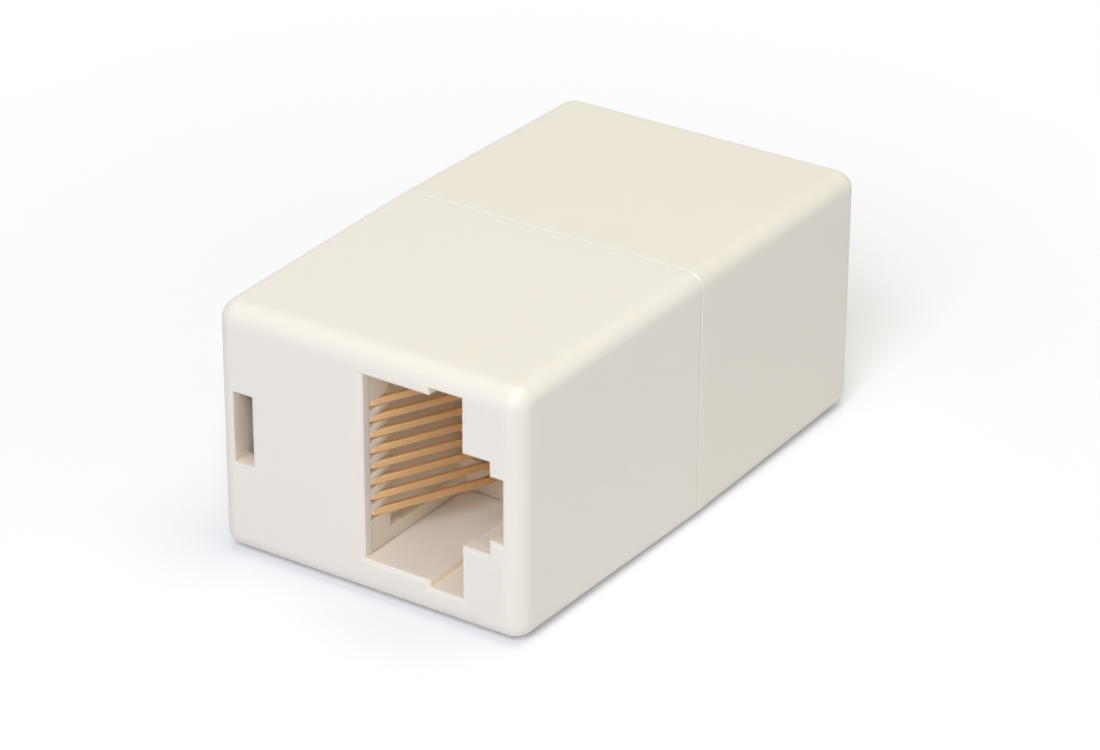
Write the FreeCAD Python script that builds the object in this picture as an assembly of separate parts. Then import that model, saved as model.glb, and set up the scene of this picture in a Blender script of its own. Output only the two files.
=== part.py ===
import FreeCAD, Part
import math
import os

# Inline coupler for two eight-contact modular plugs, in millimetres.
# X runs across the end faces, Y along the length, Z up.  The front end face looks toward -Y.
# The origin is the centre of the underside.  The two half shells are the same moulding, and
# everything behind Y = 0 is the front half turned half a turn about the vertical axis.
# Each plug lies on its side: its width stands along Z and its thickness lies along X, with
# its contacts near the middle of the coupler and its latch beside the outer wall.

# ---- jack: the opening that the plug enters ----
CONTACT_COUNT = 8
CONTACT_PITCH = 1.016
PORT_EDGE_X = -0.2          # contact side of the opening, from the middle plane
PORT_WIDTH = 11.9           # along Z, on the contact side
PORT_THICKNESS = 6.85       # along X, contact side to latch side
SHOULDER_STEP = 0.45        # the opening is this much taller, above and below, for the shoulders
SHOULDER_START = 4.6        # from the contact side to where the shoulders begin
KEYWAY_WIDTH = 5.9          # latch keyway, wide step
KEYWAY_RISE = 1.85
TAB_WIDTH = 4.05            # latch keyway, narrow step
TAB_RISE = 0.9
LATCH_POCKET_WIDTH = 6.4    # behind the end wall, where the latch springs out
PLUG_DEPTH = 12.6           # end face to plug stop
PORT_LIFT = 0.3             # the jack and all inner pieces sit this much above mid height

# ---- half shell ----
END_WALL = 1.4
SIDE_WALL = 1.3
TOP_WALL = 1.3
JACK_WALL = 1.6             # from the shoulders to the outside, mean of top and bottom
SLEEVE_WALL = 1.0           # walls moulded round the jack inside the shell
STOP_WALL = 1.2             # wall behind the plug
CROSSOVER_HALF = 4.8        # back of the stop wall to the seam
DRAFT_STEP = 0.2            # each side grows by this much from the end face to the seam
LONG_EDGE_RADIUS = 1.1
END_EDGE_RADIUS = 1.3
INNER_CORNER_RADIUS = 0.5
SEAM_BEVEL = 0.12
PORT_LEAD_IN = 0.2          # chamfer round the mouth of the opening

# ---- lip and groove at the seam ----
LIP_LENGTH = 1.0
LIP_THICKNESS = 0.5
LIP_CLEARANCE = 0.1

# ---- snap hook, catch and the window in front of the catch ----
WINDOW_WIDTH = 1.4          # along X
WINDOW_HEIGHT = 4.6
ARM_THICKNESS = 1.1
ARM_HEIGHT = 4.0
CATCH_RISE = 0.7
CATCH_LENGTH = 1.2
CATCH_SETBACK = 6.4         # seam to the near end of the catch
HOOK_BITE = 0.5             # how far the hook reaches behind the catch
HOOK_LENGTH = 1.6
SNAP_CLEARANCE = 0.12

# ---- contact carrier ----
CARRIER_CLEARANCE = 0.05
WEB_THICKNESS = 1.2         # wall that the springs stand on
RAIL_HEIGHT = 0.5           # rails and comb stand this much above the web
RAIL_WIDTH = 0.9
FRONT_COMB_LENGTH = 1.9
COMB_RECESS = 0.6           # the front comb nests this deep in the back of the end wall
COMB_SLOT = 0.6
REAR_COMB_REACH = 3.8       # from the contact side into the opening
REAR_COMB_DEPTH = 2.3       # from its face to the plug stop
REAR_SLOT_DEPTH = 1.8
CLAMP_THICKNESS = 3.1       # middle block, from the middle plane

# ---- contact wires ----
WIRE_WIDTH = 0.46           # along Z
WIRE_THICKNESS = 0.38
WIRE_CLEARANCE = 0.06
SPRING_ANGLE = 26.0         # lean of the spring from the insertion direction
TIP_ANGLE = 4.0
SPRING_HEIGHT = 2.95        # from the contact side to the knee
KNEE_RADIUS = 1.0
CROSSOVER_BEND_RADIUS = 1.5
TIP_CLEARANCE = 0.6         # tip to the closed end of its comb slot

# ---- pegs that line up the two carriers ----
PEG_DIAMETER = 1.0
PEG_LENGTH = 0.9
PEG_SPREAD = 1.8            # from the middle, along the joint face
PEG_LEVEL = 4.9             # above and below mid height

# ---- worked out from the sizes above ----
HALF_LENGTH = PLUG_DEPTH + STOP_WALL + CROSSOVER_HALF
PORT_FAR_X = PORT_EDGE_X + PORT_THICKNESS
KEYWAY_X = PORT_FAR_X + KEYWAY_RISE
INNER_X = KEYWAY_X + TAB_RISE
END_HALF_WIDTH = INNER_X + SIDE_WALL
END_HALF_HEIGHT = PORT_WIDTH / 2 + SHOULDER_STEP + JACK_WALL
MID_Z = END_HALF_HEIGHT + DRAFT_STEP
JACK_Z = MID_Z + PORT_LIFT
END_Y = -HALF_LENGTH
INNER_END_Y = END_Y + END_WALL
COMB_FRONT_Y = INNER_END_Y - COMB_RECESS
COMB_END_Y = COMB_FRONT_Y + FRONT_COMB_LENGTH
STOP_Y = END_Y + PLUG_DEPTH
STOP_BACK_Y = STOP_Y + STOP_WALL
PORT_HALF = PORT_WIDTH / 2
CARRIER_HALF_HEIGHT = PORT_HALF - CARRIER_CLEARANCE
WEB_TOP_X = PORT_EDGE_X - RAIL_HEIGHT
GROOVE_WIDTH = WIRE_WIDTH + 2 * WIRE_CLEARANCE
GROOVE_DEPTH = WIRE_THICKNESS + 2 * WIRE_CLEARANCE
WEB_BACK_X = WEB_TOP_X - WEB_THICKNESS
SEAT_X = WEB_BACK_X - CARRIER_CLEARANCE
WIRE_RUN_X = WEB_BACK_X + GROOVE_DEPTH / 2
FRONT_BEND_RADIUS = WEB_THICKNESS / 2
BEND_Y = COMB_FRONT_Y + FRONT_BEND_RADIUS + WIRE_THICKNESS
COMB_X = PORT_EDGE_X + REAR_COMB_REACH
COMB_Y = STOP_Y - REAR_COMB_DEPTH


def box(x0, x1, y0, y1, z0, z1, level=JACK_Z):
    """Block between two corners, with Z measured from the middle of the jack."""
    corner = FreeCAD.Vector(x0, y0, level + z0)
    return Part.makeBox(x1 - x0, y1 - y0, z1 - z0, corner)


def plan_prism(points, half_height):
    """Outline in plan, raised by the same amount above and below the middle of the jack."""
    corners = [FreeCAD.Vector(x, y, JACK_Z - half_height) for x, y in points]
    outline = Part.makePolygon(corners + corners[:1])
    return Part.Face(outline).extrude(FreeCAD.Vector(0, 0, 2 * half_height))


def half_turn(shape):
    """The same piece at the other end of the coupler."""
    turned = shape.copy()
    turned.rotate(FreeCAD.Vector(0, 0, 0), FreeCAD.Vector(0, 0, 1), 180)
    return turned


def contact_heights():
    """Height of each contact above or below the middle of the jack, from the lowest up."""
    middle = (CONTACT_COUNT - 1) / 2
    return [(number - middle) * CONTACT_PITCH for number in range(CONTACT_COUNT)]


# ---------------------------------------------------------------- half shell

def drafted_block(inset_x, inset_z, y0, y1):
    """Block that follows the outer faces at an inset, between two places along the length."""
    half_x = []
    half_z = []
    for y in (y0, y1):
        growth = DRAFT_STEP * (y - END_Y) / HALF_LENGTH
        half_x.append(END_HALF_WIDTH + growth - inset_x)
        half_z.append(END_HALF_HEIGHT + growth - inset_z)
    return Part.makeWedge(-half_x[0], y0, MID_Z - half_z[0], MID_Z - half_z[1], -half_x[1],
                          half_x[0], y1, MID_Z + half_z[0], MID_Z + half_z[1], half_x[1])


def chosen_edges(shape, test):
    """Edges whose first and last places along the length pass the test."""
    chosen = []
    for edge in shape.Edges:
        places = sorted(vertex.Point.y for vertex in edge.Vertexes)
        if test(places[0], places[-1]):
            chosen.append(edge)
    return chosen


def runs_lengthwise(low, high):
    return high - low > HALF_LENGTH / 2


def outer_form():
    """Outside of one half: drafted, with soft end and long edges and a fine bevel at the seam."""
    form = drafted_block(0, 0, END_Y, 0)
    near = SEAM_BEVEL / 10
    end_edges = chosen_edges(form, lambda low, high: high < END_Y + near)
    form = form.makeFillet(END_EDGE_RADIUS, end_edges)
    form = form.makeFillet(LONG_EDGE_RADIUS, chosen_edges(form, runs_lengthwise))
    seam_edges = chosen_edges(form, lambda low, high: low > -near)
    return form.makeChamfer(SEAM_BEVEL, seam_edges)


def inner_hollow():
    """Room inside one half, with softened long corners."""
    hollow = drafted_block(SIDE_WALL, TOP_WALL, INNER_END_Y, 0)
    return hollow.makeFillet(INNER_CORNER_RADIUS, chosen_edges(hollow, runs_lengthwise))


def jack_sleeve():
    """Walls round the jack: partition, latch pocket and plug stop, trimmed to the room inside."""
    tall = END_HALF_HEIGHT
    sleeve = box(SEAT_X - SLEEVE_WALL, PORT_FAR_X + SLEEVE_WALL, INNER_END_Y, STOP_BACK_Y, -tall, tall)
    pocket_half = LATCH_POCKET_WIDTH / 2 + SLEEVE_WALL
    sleeve = sleeve.fuse(box(PORT_FAR_X, INNER_X, INNER_END_Y, STOP_BACK_Y, -pocket_half, pocket_half))
    sleeve = sleeve.fuse(box(PORT_FAR_X, INNER_X, STOP_Y, STOP_BACK_Y, -tall, tall))
    return sleeve


def port_outline():
    """The stepped outline of the opening, contact side first."""
    shoulder_x = PORT_EDGE_X + SHOULDER_START
    shoulder = PORT_HALF + SHOULDER_STEP
    keyway = KEYWAY_WIDTH / 2
    tab = TAB_WIDTH / 2
    upper = [(PORT_EDGE_X, PORT_HALF), (shoulder_x, PORT_HALF), (shoulder_x, shoulder),
             (PORT_FAR_X, shoulder), (PORT_FAR_X, keyway), (KEYWAY_X, keyway),
             (KEYWAY_X, tab), (INNER_X, tab)]
    lower = [(x, -z) for x, z in reversed(upper)]
    return upper + lower


def port_mouth():
    """Cut through the end wall, with a small chamfer round its mouth."""
    corners = [FreeCAD.Vector(x, END_Y, JACK_Z + z) for x, z in port_outline()]
    outline = Part.makePolygon(corners + corners[:1])
    mouth = Part.Face(outline).extrude(FreeCAD.Vector(0, END_WALL, 0))
    wide = outline.makeOffset2D(2 * PORT_LEAD_IN, 2, False, False, False)
    wide.translate(FreeCAD.Vector(0, -PORT_LEAD_IN, 0))
    narrow = outline.copy()
    narrow.translate(FreeCAD.Vector(0, PORT_LEAD_IN, 0))
    return mouth.fuse(Part.makeLoft([wide, narrow], True, True))


def plug_room():
    """Room behind the end wall: the plug body, its shoulders, its latch and the carrier's seat."""
    shoulder_x = PORT_EDGE_X + SHOULDER_START
    shoulder = PORT_HALF + SHOULDER_STEP
    latch = LATCH_POCKET_WIDTH / 2
    room = box(SEAT_X, PORT_FAR_X, INNER_END_Y, STOP_Y, -PORT_HALF, PORT_HALF)
    room = room.fuse(box(shoulder_x, PORT_FAR_X, INNER_END_Y, STOP_Y, -shoulder, shoulder))
    room = room.fuse(box(PORT_FAR_X, INNER_X, INNER_END_Y, STOP_Y, -latch, latch))
    room = room.fuse(box(SEAT_X, PORT_EDGE_X, COMB_FRONT_Y, INNER_END_Y, -PORT_HALF, PORT_HALF))
    reach = COMB_X + 2 * CARRIER_CLEARANCE
    return room.fuse(box(SEAT_X, reach, STOP_Y, STOP_BACK_Y, -PORT_HALF, PORT_HALF))


def snap_arm():
    """Arm from the plug stop, across the seam, with a hook that faces the outer wall."""
    catch_face_y = CATCH_SETBACK + CATCH_LENGTH
    back_x = INNER_X - CATCH_RISE - SNAP_CLEARANCE
    root_x = back_x - ARM_THICKNESS
    hook_x = back_x + HOOK_BITE + SNAP_CLEARANCE
    hook_y = catch_face_y + SNAP_CLEARANCE
    tip_y = hook_y + HOOK_LENGTH
    outline = [(root_x - ARM_THICKNESS, STOP_BACK_Y), (back_x + ARM_THICKNESS / 2, STOP_BACK_Y),
               (back_x, STOP_BACK_Y + ARM_THICKNESS), (back_x, hook_y), (hook_x, hook_y),
               (hook_x, hook_y + HOOK_LENGTH / 3), (back_x - SNAP_CLEARANCE, tip_y),
               (root_x, tip_y), (root_x, STOP_BACK_Y + ARM_THICKNESS)]
    return plan_prism(outline, ARM_HEIGHT / 2)


def catch():
    """Wedge on the far side wall: a ramp towards the seam and a square face for the hook."""
    wall_x = -INNER_X - SIDE_WALL / 2
    top_x = -INNER_X + CATCH_RISE
    near_y = -CATCH_SETBACK
    far_y = near_y - CATCH_LENGTH
    outline = [(wall_x, near_y + CATCH_RISE), (-INNER_X, near_y + CATCH_RISE), (top_x, near_y),
               (top_x, far_y), (wall_x, far_y)]
    return plan_prism(outline, WINDOW_HEIGHT / 2 - SNAP_CLEARANCE)


def window():
    """Slot through the end wall in line with the catch."""
    half = WINDOW_HEIGHT / 2
    return box(-INNER_X, -INNER_X + WINDOW_WIDTH, END_Y - END_WALL, INNER_END_Y + END_WALL,
               -half, half)


def seam_ring(inner, outer, start, end):
    """C-shaped ring just inside the walls at the seam, on the jack's side of the middle plane."""
    growth = DRAFT_STEP
    half_x = END_HALF_WIDTH + growth - SIDE_WALL
    half_z = END_HALF_HEIGHT + growth - TOP_WALL
    wide = half_x + outer
    tall = half_z + outer
    ring = box(-wide, wide, start, end, -tall, tall, MID_Z)
    wide = half_x + inner
    tall = half_z + inner
    ring = ring.cut(box(-wide, wide, start, end, -tall, tall, MID_Z))
    return ring.common(box(LIP_CLEARANCE, 2 * half_x, start, end, -2 * half_z, 2 * half_z))


def half_shell():
    """One moulding: walls, jack, snap arm and catch, with a lip on one side of the seam."""
    hollow = inner_hollow()
    shell = outer_form().cut(hollow)
    shell = shell.fuse(jack_sleeve().common(outer_form()))
    shell = shell.fuse(catch()).fuse(snap_arm())
    shell = shell.fuse(seam_ring(0, LIP_THICKNESS, -LIP_LENGTH, LIP_LENGTH))
    groove = seam_ring(-LIP_CLEARANCE, LIP_THICKNESS + LIP_CLEARANCE, -LIP_LENGTH - LIP_CLEARANCE,
                       LIP_LENGTH + LIP_CLEARANCE)
    shell = shell.cut(half_turn(groove))
    shell = shell.cut(plug_room()).cut(port_mouth()).cut(window())
    return shell.removeSplitter()


# ---------------------------------------------------------------- contact wires

def heading(angle):
    """Direction in plan: 0 degrees points at the front face, 90 degrees at the latch side."""
    turn = math.radians(angle)
    return FreeCAD.Vector(math.sin(turn), -math.cos(turn), 0)


def trace(point, angle, steps):
    """Edges of a path in plan from straight runs and tangent left turns."""
    edges = []
    for step in steps:
        if step[0] == "run":
            end = point + heading(angle) * step[1]
            edges.append(Part.LineSegment(point, end).toShape())
        else:
            sweep, radius = step[1:]
            centre = point + heading(angle + 90) * radius
            middle = centre - heading(angle + 90 + sweep / 2) * radius
            end = centre - heading(angle + 90 + sweep) * radius
            edges.append(Part.Arc(point, middle, end).toShape())
            angle += sweep
        point = end
    return edges


def half_path():
    """From the middle of the coupler to the free tip of the front spring."""
    lean = math.degrees(math.atan2(-WIRE_RUN_X, CROSSOVER_HALF))
    cut_back = CROSSOVER_BEND_RADIUS * math.tan(math.radians(lean / 2))
    diagonal = math.hypot(WIRE_RUN_X, CROSSOVER_HALF) - cut_back
    straight = -CROSSOVER_HALF - cut_back - BEND_Y
    reverse = 180 - SPRING_ANGLE
    spring_x = WIRE_RUN_X + FRONT_BEND_RADIUS + heading(90 + reverse).x * -FRONT_BEND_RADIUS
    rise = PORT_EDGE_X + SPRING_HEIGHT - spring_x
    spring = rise / math.sin(math.radians(SPRING_ANGLE))
    knee = SPRING_ANGLE - TIP_ANGLE
    to_knee = trace(FreeCAD.Vector(0, 0, 0), -lean,
                    [("run", diagonal), ("turn", lean, CROSSOVER_BEND_RADIUS), ("run", straight),
                     ("turn", reverse, FRONT_BEND_RADIUS), ("run", spring),
                     ("turn", knee, KNEE_RADIUS)])
    knee_end = to_knee[-1].Vertexes[-1].Point
    tip_y = COMB_Y + REAR_SLOT_DEPTH - TIP_CLEARANCE
    tip = (tip_y - knee_end.y) / math.cos(math.radians(TIP_ANGLE))
    return to_knee + trace(knee_end, 180 - TIP_ANGLE, [("run", tip)])


def full_path():
    """Whole course of one contact, from the rear tip to the front tip."""
    front = half_path()
    rear = [half_turn(edge) for edge in reversed(front)]
    return Part.Wire(Part.sortEdges(rear + front)[0])


def flat_bar(path, inner, outer, width, level):
    """Flat-sided bar along a path in plan, from inner to outer of the path and centred on a level."""
    start = path.OrderedVertexes[0].Point
    first_run = path.OrderedEdges[0]
    direction = first_run.tangentAt(first_run.FirstParameter)
    side = FreeCAD.Vector(-direction.y, direction.x, 0)
    up = FreeCAD.Vector(0, 0, width / 2)
    corners = [start - side * inner - up, start + side * outer - up,
               start + side * outer + up, start - side * inner + up]
    section = Part.makePolygon(corners + corners[:1])
    bar = path.makePipeShell([section], True, False, 1)
    bar.translate(FreeCAD.Vector(0, 0, JACK_Z + level))
    return bar


def contact_wire(height):
    """Flat-sided wire on its own level, formed into a spring at both ends."""
    half = WIRE_THICKNESS / 2
    return flat_bar(full_path(), half, half, WIRE_WIDTH, height)


# ---------------------------------------------------------------- contact carrier

def joint_face_x(y):
    """Where the two carriers meet, along the slant of the wires."""
    return -WIRE_RUN_X * y / CROSSOVER_HALF


def carrier_body():
    """Wall behind the springs, rear comb block and the half of the middle block in front."""
    front_y = COMB_FRONT_Y + CARRIER_CLEARANCE
    end_y = CROSSOVER_HALF - 2 * CARRIER_CLEARANCE
    gap = CARRIER_CLEARANCE / 2
    outline = [(WEB_BACK_X, front_y), (WEB_TOP_X, front_y), (WEB_TOP_X, COMB_Y), (COMB_X, COMB_Y),
               (COMB_X, STOP_BACK_Y), (CLAMP_THICKNESS, STOP_BACK_Y), (CLAMP_THICKNESS, end_y),
               (joint_face_x(end_y) + gap, end_y), (joint_face_x(STOP_BACK_Y) + gap, STOP_BACK_Y),
               (WEB_BACK_X, STOP_BACK_Y)]
    return plan_prism(outline, CARRIER_HALF_HEIGHT)


def front_comb_and_rails():
    """Raised comb that nests in the end wall, and a rail along the top and bottom of the web."""
    front_y = COMB_FRONT_Y + CARRIER_CLEARANCE
    top = CARRIER_HALF_HEIGHT
    raised = box(WEB_BACK_X, PORT_EDGE_X, front_y, COMB_END_Y, -top, top)
    for low in (-top, top - RAIL_WIDTH):
        raised = raised.fuse(box(WEB_TOP_X, PORT_EDGE_X, front_y, COMB_Y, low, low + RAIL_WIDTH))
    return raised


def comb_slots(height):
    """Openings for one contact: round its front bend, over its root and at its free tip."""
    low = height - COMB_SLOT / 2
    high = height + COMB_SLOT / 2
    past = WEB_THICKNESS
    slots = box(WEB_BACK_X - past, PORT_EDGE_X + past, COMB_FRONT_Y, BEND_Y, low, high)
    slots = slots.fuse(box(WEB_TOP_X, PORT_EDGE_X + past, COMB_FRONT_Y, COMB_END_Y, low, high))
    slot_end = COMB_Y + REAR_SLOT_DEPTH
    return slots.fuse(box(WEB_TOP_X, COMB_X + past, COMB_Y - past, slot_end, low, high))


def groove_path():
    """Course of the groove that holds one contact, between its two front bends."""
    front = half_path()[:3]
    rear = [half_turn(edge) for edge in reversed(front)]
    return Part.Wire(Part.sortEdges(rear + front)[0])


def groove(height):
    """Square-sided groove that one contact lies in, open at the back of the wall."""
    return flat_bar(groove_path(), GROOVE_DEPTH / 2, GROOVE_DEPTH, GROOVE_WIDTH, height)


def peg(distance, level, diameter, length):
    """Round peg square to the joint face, from inside the front carrier across the joint."""
    slant = math.atan2(-WIRE_RUN_X, CROSSOVER_HALF)
    along = FreeCAD.Vector(math.sin(slant), math.cos(slant), 0)
    across = FreeCAD.Vector(-math.cos(slant), math.sin(slant), 0)
    base = along * distance - across * length + FreeCAD.Vector(0, 0, JACK_Z + level)
    return Part.makeCylinder(diameter / 2, 2 * length, base, across)


def contact_carrier():
    """Front carrier: combs, rails, wire grooves and the pegs and sockets of the joint face."""
    carrier = carrier_body().fuse(front_comb_and_rails())
    for height in contact_heights():
        carrier = carrier.cut(comb_slots(height)).cut(groove(height))
    for level in (-PEG_LEVEL, PEG_LEVEL):
        carrier = carrier.fuse(peg(PEG_SPREAD, level, PEG_DIAMETER, PEG_LENGTH))
        socket = PEG_DIAMETER + 2 * CARRIER_CLEARANCE
        carrier = carrier.cut(peg(-PEG_SPREAD, level, socket, PEG_LENGTH + CARRIER_CLEARANCE))
    return carrier.removeSplitter()


# ---------------------------------------------------------------- the coupler

def all_parts():
    shell = half_shell()
    carrier = contact_carrier()
    parts = {"front_shell": shell, "rear_shell": half_turn(shell),
             "front_carrier": carrier, "rear_carrier": half_turn(carrier)}
    for number, height in enumerate(contact_heights(), start=1):
        parts[f"contact_wire_{number}"] = contact_wire(height)
    return parts


os.makedirs("parts", exist_ok=True)
for name, shape in all_parts().items():
    shape.exportStep(f"parts/{name}.step")
    print(name, shape.isValid(), len(shape.Solids), round(shape.Volume, 3))
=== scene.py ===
import math

import bpy
from mathutils import Matrix, Vector

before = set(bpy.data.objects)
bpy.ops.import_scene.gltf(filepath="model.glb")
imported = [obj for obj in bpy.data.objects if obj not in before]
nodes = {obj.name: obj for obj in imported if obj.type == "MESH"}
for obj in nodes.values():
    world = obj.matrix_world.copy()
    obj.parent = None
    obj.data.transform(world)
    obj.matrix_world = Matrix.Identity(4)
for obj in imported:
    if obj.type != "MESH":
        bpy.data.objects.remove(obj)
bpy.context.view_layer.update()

scene = bpy.context.scene
scene.view_settings.view_transform = "Standard"

# ---------------------------------------------------------------- contact wires
# Eight flat-sided spring wires of phosphor bronze with a thin flash of gold, formed cold in
# one stroke.  Draw lines run along them and the flash is uneven where the dies rubbed.


def group_socket(group, name, direction, kind, default=None):
    """Adds a named input or output to a node group."""
    socket = group.interface.new_socket(name=name, in_out=direction, socket_type=kind)
    if default is not None:
        socket.default_value = default
    return socket


def whole_skin_group():
    """Joins a piece's faces at their shared edges and shades it as one smooth skin."""
    group = bpy.data.node_groups.new("whole_skin", "GeometryNodeTree")
    group_socket(group, "Geometry", "INPUT", "NodeSocketGeometry")
    group_socket(group, "Reach", "INPUT", "NodeSocketFloat", 0.000001)
    group_socket(group, "Geometry", "OUTPUT", "NodeSocketGeometry")
    entry = group.nodes.new("NodeGroupInput")
    leave = group.nodes.new("NodeGroupOutput")
    join = group.nodes.new("GeometryNodeMergeByDistance")
    group.links.new(entry.outputs["Reach"], join.inputs["Distance"])
    smooth = group.nodes.new("GeometryNodeSetShadeSmooth")
    smooth.domain = "FACE"
    smooth.inputs["Shade Smooth"].default_value = True
    group.links.new(entry.outputs[0], join.inputs["Geometry"])
    group.links.new(join.outputs["Geometry"], smooth.inputs["Geometry"])
    group.links.new(smooth.outputs["Geometry"], leave.inputs[0])
    return group


def joined_skin(piece, name, reach):
    """Adds the joining of a piece's faces, over gaps up to the reach given."""
    skin = piece.modifiers.new(name, "NODES")
    skin.node_group = bpy.data.node_groups["whole_skin"]
    skin[skin.node_group.interface.items_tree["Reach"].identifier] = reach


def soften_edges(piece, width, segments, reach=0.000001, clamp=True):
    """Breaks the edges sharper than 28 degrees and shades what lies between them evenly."""
    joined_skin(piece, "whole_skin", reach)
    rounding = piece.modifiers.new("broken_edges", "BEVEL")
    rounding.width = width
    rounding.segments = segments
    rounding.limit_method = "ANGLE"
    rounding.angle_limit = math.radians(28)
    rounding.use_clamp_overlap = clamp
    rounding.harden_normals = False
    joined_skin(piece, "closed_skin", 0.0000005)
    flow = piece.modifiers.new("even_shading", "WEIGHTED_NORMAL")
    flow.mode = "FACE_AREA"
    flow.weight = 50
    flow.keep_sharp = False


# The colour sockets of a Mix node, which it has only by number.
MIX_A, MIX_B, MIX_RESULT = 6, 7, 2


def drawn_gold():
    """Gold flash over hard wire: slow patches of tone and gloss with fine draw lines."""
    material = bpy.data.materials.new("drawn_gold")
    material.use_nodes = True
    tree = material.node_tree
    shader = tree.nodes["Principled BSDF"]
    shader.inputs["Metallic"].default_value = 1.0
    place = tree.nodes.new("ShaderNodeTexCoord")
    tone = tree.nodes.new("ShaderNodeTexNoise")
    tone.inputs["Scale"].default_value = 900.0
    tone.inputs["Detail"].default_value = 4.0
    tree.links.new(place.outputs["Object"], tone.inputs["Vector"])
    colour = tree.nodes.new("ShaderNodeMix")
    colour.data_type = "RGBA"
    colour.inputs[MIX_A].default_value = (1.0, 0.74, 0.44, 1.0)
    colour.inputs[MIX_B].default_value = (0.96, 0.65, 0.35, 1.0)
    tree.links.new(tone.outputs["Fac"], colour.inputs["Factor"])
    tree.links.new(colour.outputs[MIX_RESULT], shader.inputs["Base Color"])
    stretch = tree.nodes.new("ShaderNodeVectorMath")
    stretch.operation = "MULTIPLY"
    stretch.inputs[1].default_value = (40.0, 1.0, 1.0)
    tree.links.new(place.outputs["Object"], stretch.inputs[0])
    lines = tree.nodes.new("ShaderNodeTexNoise")
    lines.inputs["Scale"].default_value = 400.0
    lines.inputs["Detail"].default_value = 3.0
    tree.links.new(stretch.outputs["Vector"], lines.inputs["Vector"])
    scored = tree.nodes.new("ShaderNodeBump")
    scored.inputs["Distance"].default_value = 0.000002
    tree.links.new(lines.outputs["Fac"], scored.inputs["Height"])
    tree.links.new(scored.outputs["Normal"], shader.inputs["Normal"])
    gloss = tree.nodes.new("ShaderNodeMapRange")
    gloss.inputs["To Min"].default_value = 0.42
    gloss.inputs["To Max"].default_value = 0.58
    tree.links.new(lines.outputs["Fac"], gloss.inputs["Value"])
    tree.links.new(gloss.outputs["Result"], shader.inputs["Roughness"])
    return material


def finish_piece(name, material, **edges):
    """Gives a piece its one material and its edges."""
    piece = nodes[name]
    piece.data.materials.clear()
    piece.data.materials.append(material)
    soften_edges(piece, **edges)


whole_skin_group()
gold = drawn_gold()
for number in range(1, 9):
    finish_piece(f"contact_wire_{number}", gold, width=0.00010, segments=3)

# ---------------------------------------------------------------- contact carriers
# Two small mouldings clamp the wires between them.  Each has a comb behind the mouth of its
# jack, a web for the springs to lie against and a tall comb for their free ends.


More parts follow.
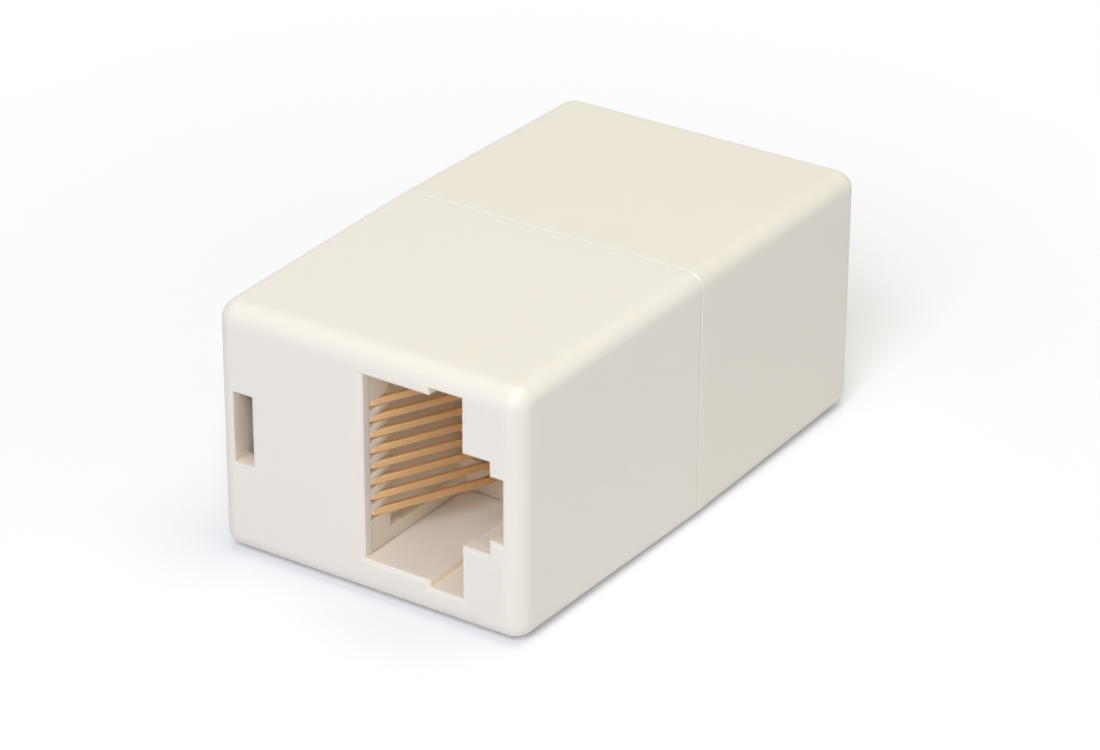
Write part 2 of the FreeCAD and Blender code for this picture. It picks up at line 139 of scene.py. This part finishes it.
def moulded_skin_group():
    """Spark-eroded mould skin: soft colour clouds, fine grain and an uneven gloss.

    Corners are a little glossier from handling wear and a little paler, partly from wear and
    partly as a painted highlight; recesses get a painted warm bounce light.
    """
    group = bpy.data.node_groups.new("moulded_skin", "ShaderNodeTree")
    group_socket(group, "Colour", "INPUT", "NodeSocketColor", (0.8, 0.8, 0.8, 1.0))
    group_socket(group, "Cloud Colour", "INPUT", "NodeSocketColor", (0.7, 0.7, 0.7, 1.0))
    group_socket(group, "Cloud Amount", "INPUT", "NodeSocketFloat", 0.2)
    group_socket(group, "Painted Bounce Colour", "INPUT", "NodeSocketColor", (0.9, 0.9, 0.9, 1.0))
    group_socket(group, "Roughness", "INPUT", "NodeSocketFloat", 0.4)
    group_socket(group, "Grain Size", "INPUT", "NodeSocketFloat", 0.0002)
    group_socket(group, "Grain Height", "INPUT", "NodeSocketFloat", 0.000004)
    group_socket(group, "Colour", "OUTPUT", "NodeSocketColor")
    group_socket(group, "Roughness", "OUTPUT", "NodeSocketFloat")
    group_socket(group, "Normal", "OUTPUT", "NodeSocketVector")
    entry = group.nodes.new("NodeGroupInput")
    leave = group.nodes.new("NodeGroupOutput")
    place = group.nodes.new("ShaderNodeTexCoord")
    link = group.links.new

    clouds = group.nodes.new("ShaderNodeTexNoise")
    clouds.inputs["Scale"].default_value = 160.0
    clouds.inputs["Detail"].default_value = 5.0
    clouds.inputs["Roughness"].default_value = 0.55
    link(place.outputs["Object"], clouds.inputs["Vector"])
    amount = group.nodes.new("ShaderNodeMath")
    amount.operation = "MULTIPLY"
    link(clouds.outputs["Fac"], amount.inputs[0])
    link(entry.outputs["Cloud Amount"], amount.inputs[1])
    tint = group.nodes.new("ShaderNodeMix")
    tint.data_type = "RGBA"
    link(amount.outputs[0], tint.inputs["Factor"])
    link(entry.outputs["Colour"], tint.inputs[MIX_A])
    link(entry.outputs["Cloud Colour"], tint.inputs[MIX_B])

    # Convex edges get a lower roughness and a paler colour. The lower roughness and part of the
    # paler colour are handling wear; the rest of the paler colour is a painted highlight along
    # the edges and the seam.
    corners = group.nodes.new("ShaderNodeAmbientOcclusion")
    corners.inside = True
    corners.samples = 4
    corners.inputs["Distance"].default_value = 0.0007
    wear_and_sheen_mask = group.nodes.new("ShaderNodeMapRange")
    wear_and_sheen_mask.inputs["From Min"].default_value = 1.0
    wear_and_sheen_mask.inputs["From Max"].default_value = 0.55
    link(corners.outputs["AO"], wear_and_sheen_mask.inputs["Value"])
    rubbed_and_sheen = group.nodes.new("ShaderNodeMix")
    rubbed_and_sheen.data_type = "RGBA"
    rubbed_and_sheen.inputs[MIX_B].default_value = (0.93, 0.89, 0.81, 1.0)
    soft = group.nodes.new("ShaderNodeMath")
    soft.operation = "MULTIPLY"
    soft.inputs[1].default_value = 0.04
    link(wear_and_sheen_mask.outputs["Result"], soft.inputs[0])
    link(soft.outputs[0], rubbed_and_sheen.inputs["Factor"])
    link(tint.outputs[MIX_RESULT], rubbed_and_sheen.inputs[MIX_A])

    # Recesses within 6 mm get a warmer, lighter colour: painted bounce light, standing in for
    # light scattered through the thin walls and between the warm plastic faces.
    bounce_occlusion = group.nodes.new("ShaderNodeAmbientOcclusion")
    bounce_occlusion.only_local = True
    bounce_occlusion.samples = 4
    bounce_occlusion.inputs["Distance"].default_value = 0.006
    painted_bounce_mask = group.nodes.new("ShaderNodeMapRange")
    painted_bounce_mask.inputs["From Min"].default_value = 0.85
    painted_bounce_mask.inputs["From Max"].default_value = 0.35
    link(bounce_occlusion.outputs["AO"], painted_bounce_mask.inputs["Value"])
    painted_bounce = group.nodes.new("ShaderNodeMix")
    painted_bounce.data_type = "RGBA"
    link(entry.outputs["Painted Bounce Colour"], painted_bounce.inputs[MIX_B])
    link(painted_bounce_mask.outputs["Result"], painted_bounce.inputs["Factor"])
    link(rubbed_and_sheen.outputs[MIX_RESULT], painted_bounce.inputs[MIX_A])
    link(painted_bounce.outputs[MIX_RESULT], leave.inputs["Colour"])

    frequency = group.nodes.new("ShaderNodeMath")
    frequency.operation = "DIVIDE"
    frequency.inputs[0].default_value = 1.0
    link(entry.outputs["Grain Size"], frequency.inputs[1])
    grain = group.nodes.new("ShaderNodeTexNoise")
    grain.inputs["Detail"].default_value = 3.0
    grain.inputs["Roughness"].default_value = 0.6
    link(place.outputs["Object"], grain.inputs["Vector"])
    link(frequency.outputs[0], grain.inputs["Scale"])
    bump = group.nodes.new("ShaderNodeBump")
    bump.inputs["Strength"].default_value = 1.0
    link(grain.outputs["Fac"], bump.inputs["Height"])
    link(entry.outputs["Grain Height"], bump.inputs["Distance"])
    link(bump.outputs["Normal"], leave.inputs["Normal"])

    polish = group.nodes.new("ShaderNodeMapRange")
    polish.inputs["To Min"].default_value = 0.85
    polish.inputs["To Max"].default_value = 1.15
    link(clouds.outputs["Fac"], polish.inputs["Value"])
    rough = group.nodes.new("ShaderNodeMath")
    rough.operation = "MULTIPLY"
    link(polish.outputs["Result"], rough.inputs[0])
    link(entry.outputs["Roughness"], rough.inputs[1])
    shine = group.nodes.new("ShaderNodeMapRange")
    shine.inputs["To Min"].default_value = 1.0
    shine.inputs["To Max"].default_value = 0.66
    link(wear_and_sheen_mask.outputs["Result"], shine.inputs["Value"])
    buffed = group.nodes.new("ShaderNodeMath")
    buffed.operation = "MULTIPLY"
    link(rough.outputs[0], buffed.inputs[0])
    link(shine.outputs["Result"], buffed.inputs[1])
    link(buffed.outputs[0], leave.inputs["Roughness"])
    return group


def moulded_plastic(name, colour, cloud_colour, painted_bounce_colour, roughness,
                    grain_size, grain_height, glow):
    """Solid coloured plastic with the skin of its mould; glow is how deep light gets."""
    material = bpy.data.materials.new(name)
    material.use_nodes = True
    tree = material.node_tree
    shader = tree.nodes["Principled BSDF"]
    skin = tree.nodes.new("ShaderNodeGroup")
    skin.node_tree = bpy.data.node_groups["moulded_skin"]
    skin.inputs["Colour"].default_value = (*colour, 1.0)
    skin.inputs["Cloud Colour"].default_value = (*cloud_colour, 1.0)
    skin.inputs["Painted Bounce Colour"].default_value = (*painted_bounce_colour, 1.0)
    skin.inputs["Cloud Amount"].default_value = 0.5
    skin.inputs["Roughness"].default_value = roughness
    skin.inputs["Grain Size"].default_value = grain_size
    skin.inputs["Grain Height"].default_value = grain_height
    tree.links.new(skin.outputs["Colour"], shader.inputs["Base Color"])
    tree.links.new(skin.outputs["Roughness"], shader.inputs["Roughness"])
    tree.links.new(skin.outputs["Normal"], shader.inputs["Normal"])
    shader.inputs["IOR"].default_value = 1.52
    shader.inputs["Subsurface Weight"].default_value = 0.5
    shader.inputs["Subsurface Radius"].default_value = (1.0, 0.92, 0.84)
    shader.inputs["Subsurface Scale"].default_value = glow
    return material


moulded_skin_group()
# The carriers' colour is lighter and warmer than the shells' ivory: painted bounce light that
# brightens the inside of the jack.
carrier_plastic = moulded_plastic(
    "carrier_plastic", colour=(0.95, 0.80, 0.62), cloud_colour=(0.92, 0.76, 0.57),
    painted_bounce_colour=(0.98, 0.80, 0.58), roughness=0.45, grain_size=0.00014,
    grain_height=0.0000015, glow=0.0020)
for name in ("front_carrier", "rear_carrier"):
    finish_piece(name, carrier_plastic, width=0.00003, segments=2, clamp=False)

# ---------------------------------------------------------------- half shells
# Two mouldings of one tool in ivory plastic with a fine satin skin, snapped together at mid
# length.  The rear one is a touch darker and yellower: painted shade for the tone step at the
# seam.

shell_colours = {
    "front_shell": ((0.86, 0.80, 0.70), (0.84, 0.775, 0.67)),
    "rear_shell": ((0.85, 0.79, 0.68), (0.83, 0.765, 0.65)),
}
for name, (colour, cloud_colour) in shell_colours.items():
    shell_plastic = moulded_plastic(
        f"{name}_plastic", colour=colour, cloud_colour=cloud_colour,
        painted_bounce_colour=(0.97, 0.81, 0.64), roughness=0.42, grain_size=0.00016,
        grain_height=0.0000018, glow=0.0006)
    finish_piece(name, shell_plastic, width=0.00005, segments=2, reach=0.00002)

# ---------------------------------------------------------------- table
# A white table top that the coupler stands on.  It shows white to the camera and in
# reflections, more so away from the coupler, and still takes the coupler's soft shadow.


def seen_or_mirrored(tree):
    """A mask that is 1 for what the camera sees, straight, mirrored or through glass."""
    path = tree.nodes.new("ShaderNodeLightPath")
    mirrored = tree.nodes.new("ShaderNodeMath")
    mirrored.operation = "MAXIMUM"
    tree.links.new(path.outputs["Is Camera Ray"], mirrored.inputs[0])
    tree.links.new(path.outputs["Is Glossy Ray"], mirrored.inputs[1])
    through = tree.nodes.new("ShaderNodeMath")
    through.operation = "MAXIMUM"
    tree.links.new(mirrored.outputs[0], through.inputs[0])
    tree.links.new(path.outputs["Is Transmission Ray"], through.inputs[1])
    return through.outputs[0]


def table_top():
    mesh = bpy.data.meshes.new("table")
    half = 2.0
    corners = [(-half, -half, 0), (half, -half, 0), (half, half, 0), (-half, half, 0)]
    mesh.from_pydata(corners, [], [(0, 1, 2, 3)])
    table = bpy.data.objects.new("table", mesh)
    scene.collection.objects.link(table)
    material = bpy.data.materials.new("table_white")
    material.use_nodes = True
    tree = material.node_tree
    tree.nodes.clear()
    out = tree.nodes.new("ShaderNodeOutputMaterial")
    paper = tree.nodes.new("ShaderNodeBsdfDiffuse")
    paper.inputs["Color"].default_value = (0.86, 0.86, 0.86, 1.0)
    lift = tree.nodes.new("ShaderNodeEmission")
    lift.inputs["Color"].default_value = (1.0, 0.97, 0.94, 1.0)
    spot = tree.nodes.new("ShaderNodeTexCoord")
    away = tree.nodes.new("ShaderNodeVectorMath")
    away.operation = "LENGTH"
    tree.links.new(spot.outputs["Object"], away.inputs[0])
    fade = tree.nodes.new("ShaderNodeMapRange")
    fade.inputs["From Min"].default_value = 0.02
    fade.inputs["From Max"].default_value = 0.14
    fade.inputs["To Min"].default_value = 0.12
    fade.inputs["To Max"].default_value = 0.42
    tree.links.new(away.outputs["Value"], fade.inputs["Value"])
    rays = tree.nodes.new("ShaderNodeMath")
    rays.operation = "MULTIPLY"
    tree.links.new(seen_or_mirrored(tree), rays.inputs[0])
    tree.links.new(fade.outputs["Result"], rays.inputs[1])
    tree.links.new(rays.outputs[0], lift.inputs["Strength"])
    both = tree.nodes.new("ShaderNodeAddShader")
    tree.links.new(paper.outputs[0], both.inputs[0])
    tree.links.new(lift.outputs[0], both.inputs[1])
    tree.links.new(both.outputs[0], out.inputs["Surface"])
    mesh.materials.append(material)
    return table


table_top()

# ---------------------------------------------------------------- light and camera
# A large soft light overhead, a cooler one from the front, a weak one from behind for the
# long edge, and a plain room that lights dimly but looks white.

world = bpy.data.worlds.new("room")
scene.world = world
world.use_nodes = True
room = world.node_tree
dim_wall = room.nodes["Background"]
dim_wall.inputs["Color"].default_value = (0.66, 0.76, 1.0, 1.0)
dim_wall.inputs["Strength"].default_value = 0.28
white_wall = room.nodes.new("ShaderNodeBackground")
white_wall.inputs["Color"].default_value = (1.0, 1.0, 1.0, 1.0)
white_wall.inputs["Strength"].default_value = 1.0
either = room.nodes.new("ShaderNodeMixShader")
room.links.new(seen_or_mirrored(room), either.inputs["Fac"])
room.links.new(dim_wall.outputs["Background"], either.inputs[1])
room.links.new(white_wall.outputs["Background"], either.inputs[2])
room.links.new(either.outputs["Shader"], room.nodes["World Output"].inputs["Surface"])


def soft_light(name, place, aim, size, power, colour):
    """A square lamp of the given size in metres, turned to what it is aimed at."""
    light = bpy.data.lights.new(name, "AREA")
    light.shape = "SQUARE"
    light.size = size
    light.energy = power
    light.color = colour
    lamp = bpy.data.objects.new(name, light)
    lamp.location = place
    lamp.rotation_euler = (Vector(aim) - Vector(place)).to_track_quat("-Z", "Y").to_euler()
    scene.collection.objects.link(lamp)


middle = Vector((0, 0, 0.008))
soft_light("overhead", (0.05, 0.05, 0.50), middle, 0.40, 1.29, (1.0, 0.93, 0.71))
soft_light("back", (0.310, 0.370, 0.128), middle, 0.15, 0.06, (1.0, 0.97, 0.90))
soft_light("front", (0.149, -0.369, 0.342), middle, 0.26, 1.79, (0.85, 0.895, 1.0))

place = Vector((0.125151, -0.187206, 0.121313))
aim = Vector((0.000503, -0.000381, 0.007028))
roll = math.radians(0.27)
look = (aim - place).normalized()
level = look.cross(Vector((0, 0, 1))).normalized()
side = level * math.cos(roll) + level.cross(look) * math.sin(roll)
top = side.cross(look)
camera_data = bpy.data.cameras.new("camera")
camera_data.lens = 136.63
camera_data.sensor_width = 36.0
camera_data.clip_start = 0.01
camera_data.clip_end = 20.0
camera = bpy.data.objects.new("camera", camera_data)
camera.matrix_world = Matrix.Translation(place) @ Matrix((side, top, -look)).transposed().to_4x4()
scene.collection.objects.link(camera)
scene.camera = camera
